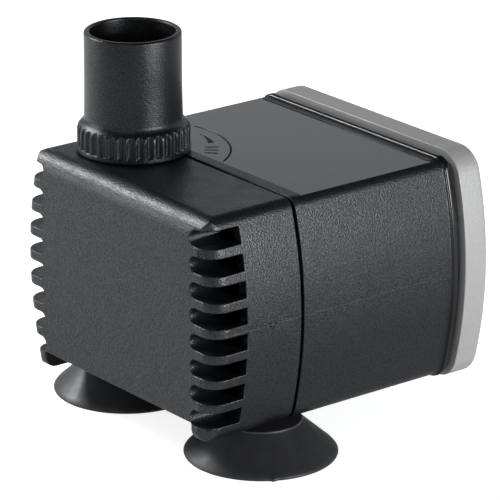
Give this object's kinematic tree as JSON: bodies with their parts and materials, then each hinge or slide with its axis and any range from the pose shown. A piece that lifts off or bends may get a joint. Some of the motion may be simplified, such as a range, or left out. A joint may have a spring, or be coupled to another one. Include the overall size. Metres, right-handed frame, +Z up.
{
  "type": "submersible water pump",
  "caption": "Small submersible aquarium pump: bulged black body, slotted intake cover, upright swivelling hose outlet, silver rear cap and suction cups.",
  "frame": {"origin": "on the floor plane under the suction cups, under the middle of the pump's overall length and width", "axes": "+Z up along the outlet tube, -Y towards the flat intake face, +X to the right seen from the intake face; the motor shaft lies along Y"},
  "size_m": [0.0644, 0.0634, 0.0676],
  "materials": {
    "black_abs_grained": "black moulded ABS with a fine spark-eroded grain",
    "black_abs_plain": "black moulded ABS, smooth satin",
    "silver_abs": "silver-grey moulded ABS, satin with a fine grain",
    "black_rubber": "soft black rubber",
    "ceramic": "polished white alumina",
    "white_acetal": "natural white acetal",
    "ferrite": "sintered ferrite, dark grey",
    "lamination_steel": "stacked silicon steel sheets",
    "enamelled_copper": "enamelled copper wire",
    "potting_resin": "cast black resin"
  },
  "bodies": {
    "pump_body": {"motor_housing": "black_abs_grained", "rear_cap": "silver_abs", "cap_gasket": "black_rubber", "cable_gland": "black_rubber", "volute_housing": "black_abs_plain", "volute_seal": "black_rubber", "nozzle_seal": "black_rubber", "shaft": "ceramic", "shaft_bush_front": "black_rubber", "shaft_bush_rear": "black_rubber", "thrust_washer_front": "ceramic", "thrust_washer_rear": "ceramic", "stator_core": "lamination_steel", "coil_bobbin_left": "white_acetal", "coil_bobbin_right": "white_acetal", "coil_left": "enamelled_copper", "coil_right": "enamelled_copper", "potting_resin": "potting_resin", "thermal_cutout": "white_acetal"},
    "intake_cover": {"front_cover": "black_abs_grained", "suction_cup_left": "black_rubber", "suction_cup_right": "black_rubber"},
    "outlet": {"outlet_nozzle": "black_abs_plain"},
    "rotor": {"rotor_carrier": "white_acetal", "rotor_magnet": "ferrite"},
    "impeller_body": {"impeller": "white_acetal"}
  },
  "joints": [
    {"name": "cover_pull_off", "type": "slide", "parent": "pump_body", "child": "intake_cover", "axis": [0, -1, 0], "range_m": [0, 0.025]},
    {"name": "outlet_regulator", "type": "hinge", "parent": "pump_body", "child": "outlet", "pos_m": [-0.01338, -0.01763, 0.0466], "axis": [0, 0, 1], "range_deg": [0, 90]},
    {"name": "rotor_spin", "type": "hinge", "parent": "pump_body", "child": "rotor", "pos_m": [0, 0, 0.0265], "axis": [0, 1, 0], "continuous": true},
    {"name": "impeller_free_play", "type": "hinge", "parent": "rotor", "child": "impeller_body", "pos_m": [0, -0.014, 0.0265], "axis": [0, 1, 0], "range_deg": [-88, 88]}
  ]
}
